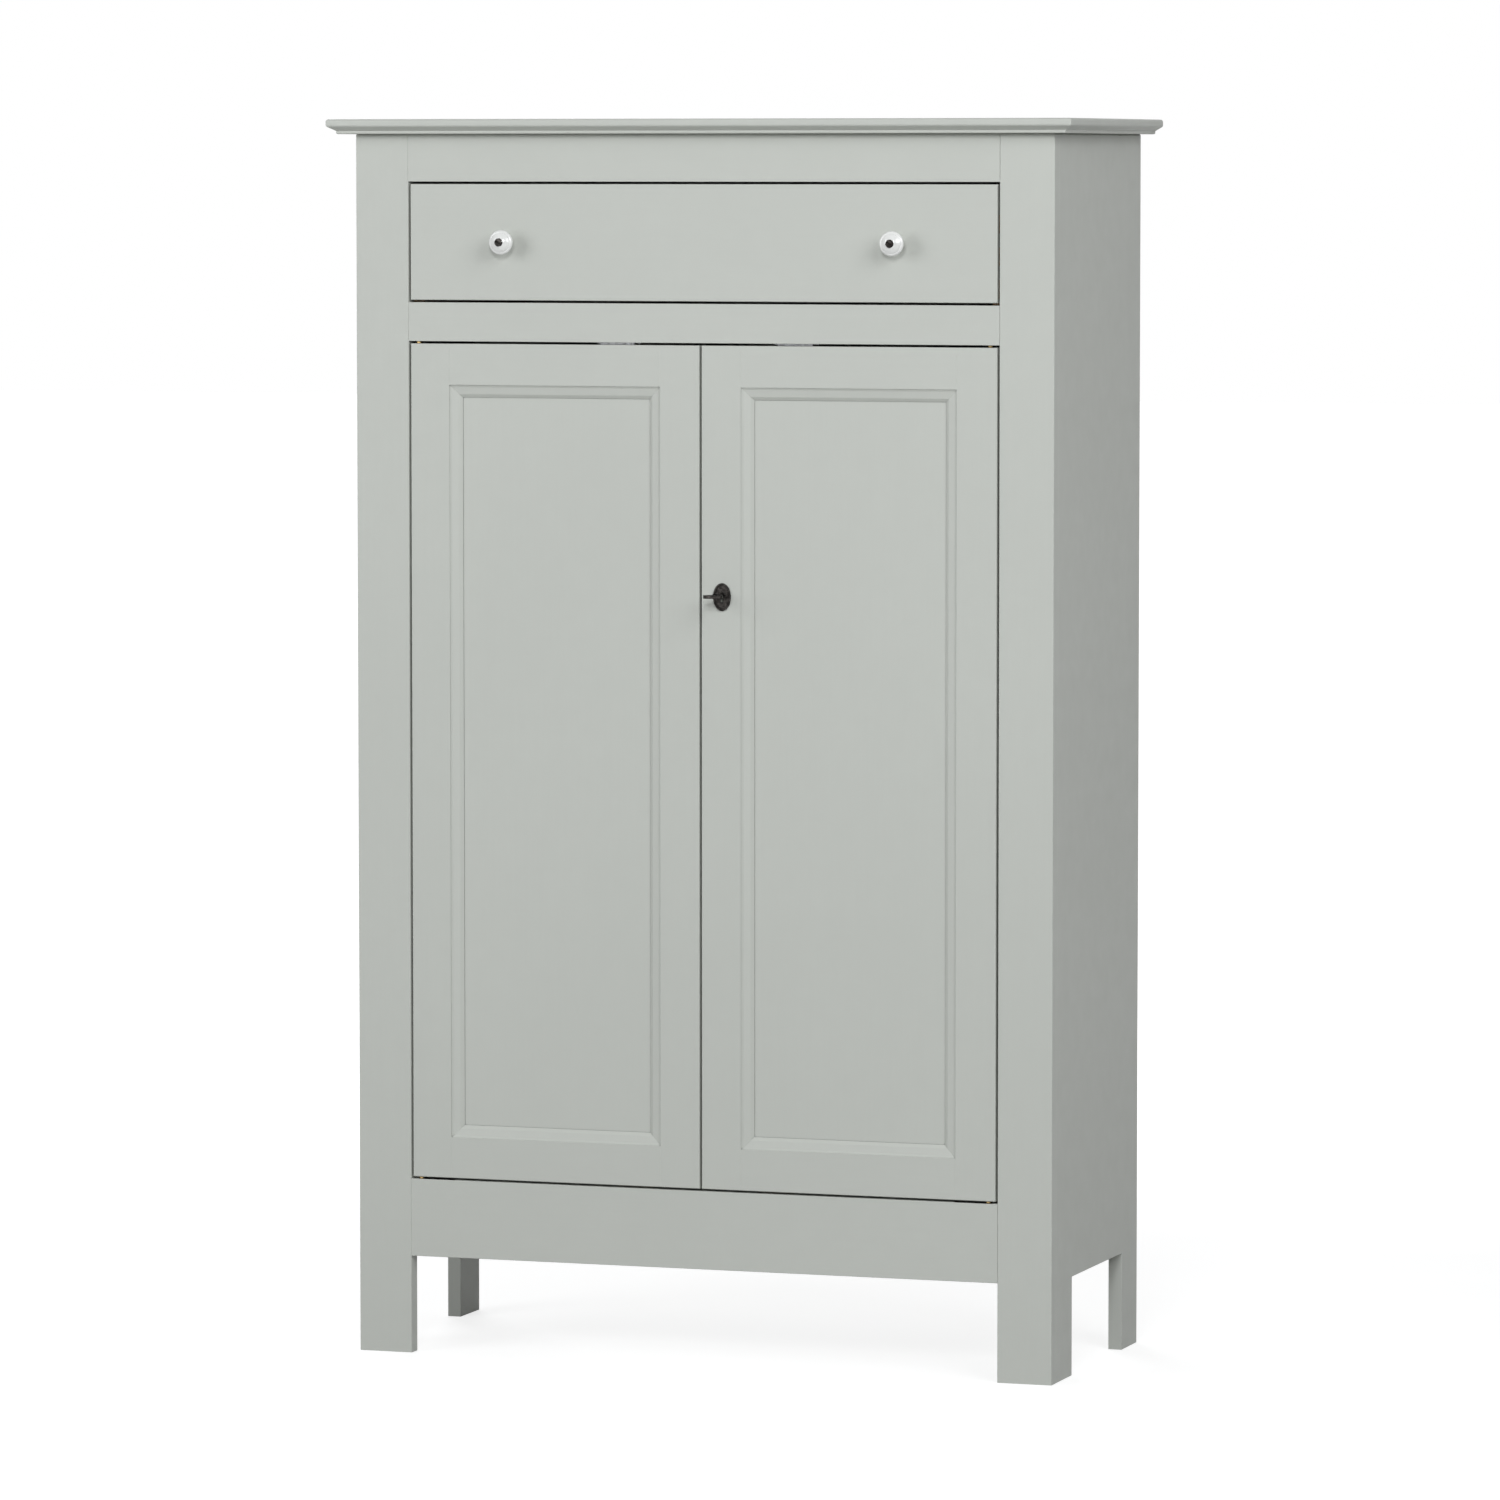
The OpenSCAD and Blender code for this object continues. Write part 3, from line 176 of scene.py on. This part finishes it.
class Shader:
    """A material whose nodes are added and joined by short calls."""

    def __init__(self, name):
        self.material = bpy.data.materials.new(name)
        self.material.use_nodes = True
        self.tree = self.material.node_tree
        self.bsdf = self.tree.nodes["Principled BSDF"]

    def feed(self, socket, value):
        """Joins another node's output to a socket, or sets a plain value on it."""
        if isinstance(value, bpy.types.NodeSocket):
            self.tree.links.new(value, socket)
        else:
            socket.default_value = value

    def add(self, kind, inputs=None, **settings):
        made = self.tree.nodes.new(kind)
        for key, value in settings.items():
            setattr(made, key, value)
        for key, value in (inputs or {}).items():
            self.feed(made.inputs[key], value)
        return made

    def constant(self, **values):
        for key, value in values.items():
            self.bsdf.inputs[key.replace("_", " ")].default_value = value

    def drive(self, socket, value):
        self.tree.links.new(value, self.bsdf.inputs[socket])

    def maths(self, operation, a, b):
        return self.add("ShaderNodeMath", {0: a, 1: b}, operation=operation).outputs[0]

    def place(self, scale=(1.0, 1.0, 1.0)):
        """Points of the object's own space, scaled along each axis."""
        at = self.add("ShaderNodeTexCoord").outputs["Object"]
        return self.add("ShaderNodeMapping", {"Vector": at, "Scale": scale}).outputs[0]

    def noise(self, at, scale=1.0, detail=2.0, rough=0.55):
        return self.add("ShaderNodeTexNoise",
                        {"Vector": at, "Scale": scale, "Detail": detail,
                         "Roughness": rough}).outputs["Fac"]

    def ramp(self, value, span, ends=(0.0, 1.0)):
        """Goes evenly from one of the ends to the other as value goes through span."""
        return self.add("ShaderNodeMapRange",
                        {"Value": value, "From Min": span[0], "From Max": span[1],
                         "To Min": ends[0], "To Max": ends[1]}).outputs[0]

    def blend(self, share, a, b):
        """Mixes two colours by share, from 0 to 1."""
        mix = self.add("ShaderNodeMix", data_type="RGBA")
        for socket, value in zip((mix.inputs[0], mix.inputs[6], mix.inputs[7]), (share, a, b)):
            self.feed(socket, value)
        return mix.outputs[2]

    def layer(self, tone, over, value, span, most):
        """Lays a colour over tone as value goes through span, up to the share most."""
        return self.blend(self.ramp(value, span, (0.0, most)), tone, over)

    def rounded(self, radius):
        """The surface's normal, turned smoothly round sharp edges."""
        return self.add("ShaderNodeBevel", {"Radius": radius},
                        samples=EDGE_SAMPLES).outputs[0]

    def edges(self, width):
        """1 at a sharp edge, 0 further from it than about width."""
        true = self.add("ShaderNodeNewGeometry").outputs["Normal"]
        turn = self.add("ShaderNodeVectorMath", {0: self.rounded(width), 1: true},
                        operation="DOT_PRODUCT").outputs["Value"]
        return self.ramp(turn, EDGE_TURN)

    def shade_mask(self, reach):
        """Mask for painted shade: 1 in a tight inner corner, 0 where nothing stands within
        reach.
        """
        open_share = self.add("ShaderNodeAmbientOcclusion", {"Distance": reach},
                              samples=SHADE_MASK_SAMPLES).outputs["AO"]
        return self.ramp(open_share, SHADE_MASK_OPEN)

    def relief(self, height, depth, strength, under=None):
        """A normal for a height from 0 to 1 that stands for depth metres."""
        inputs = {"Height": height, "Distance": depth, "Strength": strength}
        if under is not None:
            inputs["Normal"] = under
        return self.add("ShaderNodeBump", inputs).outputs[0]


def seen_directly(tree):
    """1 for what the eye, a gloss or a glass shows of a surface, 0 for the light it sheds."""
    path = tree.nodes.new("ShaderNodeLightPath")
    seen = path.outputs["Is Camera Ray"]
    for other in ("Is Glossy Ray", "Is Transmission Ray"):
        either = tree.nodes.new("ShaderNodeMath")
        either.operation = "MAXIMUM"
        tree.links.new(seen, either.inputs[0])
        tree.links.new(path.outputs[other], either.inputs[1])
        seen = either.outputs[0]
    return seen


def shade(colour, factor):
    return tuple(min(1.0, c * factor) for c in colour) + (1.0,)


def shades(colour, factors):
    return [shade(colour, factor) for factor in factors]


def stretched(axis, along, across):
    """Scale that runs a texture's fibres along one axis."""
    return tuple(along if a == axis else across for a in "XYZ")


def painted(name, axis, colour, roughness, painted_line_shade=False):
    """Satin paint over wood: a fine orange peel, faint fibres under it, soft arrises.

    With its last flag set, painted shade lies as dark lines in the tight corners beside the
    mouldings."""
    s = Shader(name)
    plain = s.place()
    grain = s.place(stretched(axis, along=9.0, across=260.0))
    fibres = s.noise(grain, detail=4.0, rough=0.6)
    peel = s.noise(plain, PEEL_SCALE)
    cloud = s.noise(plain, CLOUD_SCALE, rough=0.5)
    mottle = s.noise(plain, MOTTLE_SCALE, detail=4.0, rough=0.6)
    edge = s.edges(ARRIS_WIDTH)
    tone = s.blend(s.ramp(cloud, NOISE_SPAN), *shades(colour, CLOUD_SHADES))
    tone = s.layer(tone, shade(colour, MOTTLE_SHADE), mottle, span=(0.35, 0.75), most=0.35)
    tone = s.layer(tone, shade(colour, FIBRE_SHADE), fibres, span=(0.35, 0.8), most=0.25)
    worn = s.maths("MULTIPLY", edge, ARRIS_SHARE)
    tone = s.blend(worn, tone, shade(colour, ARRIS_SHADE))
    if painted_line_shade:
        # Painted shade: dark lines in the tight corners beside the mouldings
        shade_line = s.maths("MULTIPLY", s.shade_mask(SHADE_LINE_REACH), SHADE_LINE_SHARE)
        tone = s.blend(shade_line, tone, shade(colour, SHADE_LINE_TONE))
    s.drive("Base Color", tone)
    dull = s.ramp(mottle, DULL_SPAN, [roughness + change for change in PAINT_DULL])
    s.drive("Roughness", s.maths("ADD", dull, s.maths("MULTIPLY", edge, ARRIS_GLOSS)))
    skin = s.relief(peel, PEEL_DEPTH, strength=0.6, under=s.rounded(ARRIS_RADIUS))
    s.drive("Normal", s.relief(fibres, FIBRE_DEPTH, strength=0.5, under=skin))
    s.constant(IOR=1.48, Specular_IOR_Level=0.2)
    return s.material


def wooden(name, axis, colour):
    """Planed softwood: growth rings as stretched bands, pores and a dull wax."""
    s = Shader(name)
    wide = s.place(stretched(axis, along=2.2, across=46.0))
    bands = s.noise(wide, detail=3.0, rough=0.6)
    rings = s.add("ShaderNodeTexWave",
                  {"Vector": s.place(stretched(axis, along=1.4, across=30.0)), "Scale": 1.6,
                   "Distortion": 6.0, "Detail": 3.0, "Detail Scale": 1.2},
                  bands_direction="DIAGONAL").outputs["Fac"]
    pores = s.noise(s.place(stretched(axis, along=30.0, across=900.0)), rough=0.7)
    late_wood = tuple(c * f for c, f in zip(colour, LATE_WOOD_SHADES)) + (1.0,)
    tone = s.blend(s.ramp(bands, NOISE_SPAN), *shades(colour, BAND_SHADES))
    tone = s.layer(tone, late_wood, rings, span=(0.55, 1.0), most=0.55)
    tone = s.layer(tone, shade(colour, PORE_SHADE), pores, span=(0.62, 0.8), most=0.4)
    s.drive("Base Color", tone)
    s.drive("Roughness", s.ramp(rings, (0.0, 1.0), WAX_ROUGHNESS))
    s.drive("Normal", s.relief(pores, PORE_DEPTH, strength=0.5))
    s.constant(Specular_IOR_Level=0.35)
    return s.material


def metallic(metal):
    """Metal with fine scratches, grimy patches, a rim and, where asked, painted shade in close
    corners, as its row in METALS says.
    """
    s = Shader(metal.name)
    clean, grimy = shades(metal.colour, (CLEAN_SHADE, PATCH_SHADE))
    patches = s.noise(s.place(), metal.patch_scale, detail=4.0, rough=0.65)
    scratches = s.noise(s.place(SCRATCH_SCALES))
    rim = s.maths("MULTIPLY", s.edges(metal.rim_width), metal.rim_share)
    tone = s.layer(clean, grimy, patches, span=(0.4, 0.6), most=metal.patch_share)
    tone = s.blend(rim, tone, shade(metal.colour, metal.rim_shade))
    if metal.dark_corners:
        # Painted shade where something stands close
        tone = s.blend(s.shade_mask(METAL_SHADE_REACH), tone, shade(metal.colour, METAL_SHADE_TONE))
    s.drive("Base Color", tone)
    s.drive("Roughness", s.ramp(patches, DULL_SPAN,
                                (metal.roughness, metal.roughness + PATCH_DULL)))
    s.drive("Normal", s.relief(scratches, SCRATCH_DEPTH, strength=0.5,
                               under=s.rounded(METAL_RADIUS)))
    s.constant(Metallic=1.0)
    return s.material


def glazed(name, colour):
    """White porcelain under a clear glaze that lies in slow, shallow waves."""
    s = Shader(name)
    plain = s.place()
    waves = s.noise(plain, GLAZE_SCALE, detail=1.0)
    specks = s.noise(plain, SPECK_SCALE)
    tone = s.blend(s.ramp(waves, NOISE_SPAN), *shades(colour, GLAZE_SHADES))
    tone = s.layer(tone, shade(colour, SPECK_SHADE), specks, span=(0.72, 0.8), most=0.35)
    s.drive("Base Color", tone)
    s.drive("Roughness", s.ramp(waves, NOISE_SPAN, GLAZE_ROUGHNESS))
    s.drive("Normal", s.relief(waves, GLAZE_DEPTH, strength=0.3))
    s.constant(Coat_Weight=0.7, Coat_Roughness=0.04, IOR=1.5)
    return s.material


def give(nodes, material):
    for node in nodes:
        mesh = NODES[node].data
        mesh.materials.clear()
        mesh.materials.append(material)


def dress_nodes():
    for axis in (UPRIGHT, ACROSS, DEEP):
        paint = painted("paint_along_" + axis, axis, PAINT, SATIN)
        inside = painted("inside_paint_along_" + axis, axis, INSIDE_PAINT, MATT)
        wood = wooden("softwood_along_" + axis, axis, BARE_WOOD)
        for table, material in ((PAINTED, paint), (INSIDE, inside), (WOODEN, wood)):
            give([node for node, runs in table.items() if runs == axis], material)
    # Door panels and mouldings get painted shade lines in their tight corners
    give(MOULDED, painted("moulded_paint", UPRIGHT, PAINT, SATIN, painted_line_shade=True))
    give(GLAZED, glazed("porcelain_glaze", PORCELAIN))
    for metal in METALS:
        give(metal.nodes, metallic(metal))


def pale_floor():
    """A pale floor that the camera sees as white, with the object's shadow kept."""
    s = Shader("pale_floor")
    tree = s.tree
    mottle = s.noise(s.place(), FLOOR_SCALE)
    s.drive("Base Color", s.blend(s.ramp(mottle, NOISE_SPAN), *FLOOR_TONES))
    s.constant(Roughness=0.8, Specular_IOR_Level=0.1)
    away = s.add("ShaderNodeVectorMath", {0: s.place(GLOW_WEIGHTS)}, operation="LENGTH")
    level = s.ramp(away.outputs["Value"], GLOW_DISTANCE, GLOW_STRENGTH)
    glow = s.add("ShaderNodeEmission",
                 {"Color": WHITE, "Strength": s.maths("MULTIPLY", seen_directly(tree), level)})
    both = s.add("ShaderNodeAddShader", {0: s.bsdf.outputs[0], 1: glow.outputs[0]})
    tree.links.new(both.outputs[0], tree.nodes["Material Output"].inputs["Surface"])

    corners = [(x * FLOOR_HALF, y * FLOOR_HALF, 0.0)
               for x, y in ((-1, -1), (1, -1), (1, 1), (-1, 1))]
    mesh = bpy.data.meshes.new("floor")
    mesh.from_pydata(corners, [], [(0, 1, 2, 3)])
    mesh.materials.append(s.material)
    floor = bpy.data.objects.new("floor", mesh)
    bpy.context.scene.collection.objects.link(floor)


def studio_world():
    """A soft cool light from all round, seen as plain white."""
    world = bpy.data.worlds.new("studio")
    bpy.context.scene.world = world
    world.use_nodes = True
    tree = world.node_tree
    soft = tree.nodes["Background"]
    soft.inputs["Color"].default_value = COOL_WHITE + (1.0,)
    soft.inputs["Strength"].default_value = WORLD_LEVEL
    white = tree.nodes.new("ShaderNodeBackground")
    white.inputs["Color"].default_value = WHITE
    white.inputs["Strength"].default_value = 1.0
    mix = tree.nodes.new("ShaderNodeMixShader")
    tree.links.new(seen_directly(tree), mix.inputs[0])
    tree.links.new(soft.outputs[0], mix.inputs[1])
    tree.links.new(white.outputs[0], mix.inputs[2])
    tree.links.new(mix.outputs[0], tree.nodes["World Output"].inputs["Surface"])


def lamp(box):
    data = bpy.data.lights.new(box.name, "AREA")
    data.shape = "RECTANGLE"
    data.size = data.size_y = box.side
    data.energy = box.power
    data.color = COOL_WHITE
    made = bpy.data.objects.new(box.name, data)
    made.location = box.at
    made.visible_camera = False
    aim = Vector(box.towards) - Vector(box.at)
    made.rotation_euler = aim.to_track_quat("-Z", "Y").to_euler()
    bpy.context.scene.collection.objects.link(made)


def studio():
    pale_floor()
    studio_world()
    for box in SOFTBOXES:
        lamp(box)


def camera():
    data = bpy.data.cameras.new("camera")
    data.lens = CAMERA_LENS
    data.sensor_width = CAMERA_SENSOR
    data.clip_start = CAMERA_NEAR
    data.clip_end = CAMERA_FAR
    made = bpy.data.objects.new("camera", data)
    made.location = CAMERA_AT
    made.rotation_euler = (math.radians(90.0 - CAMERA_DOWN), 0.0, math.radians(CAMERA_YAW))
    bpy.context.scene.collection.objects.link(made)
    bpy.context.scene.camera = made


camera()
studio()
dress_nodes()
bpy.context.scene.view_settings.view_transform = "Standard"
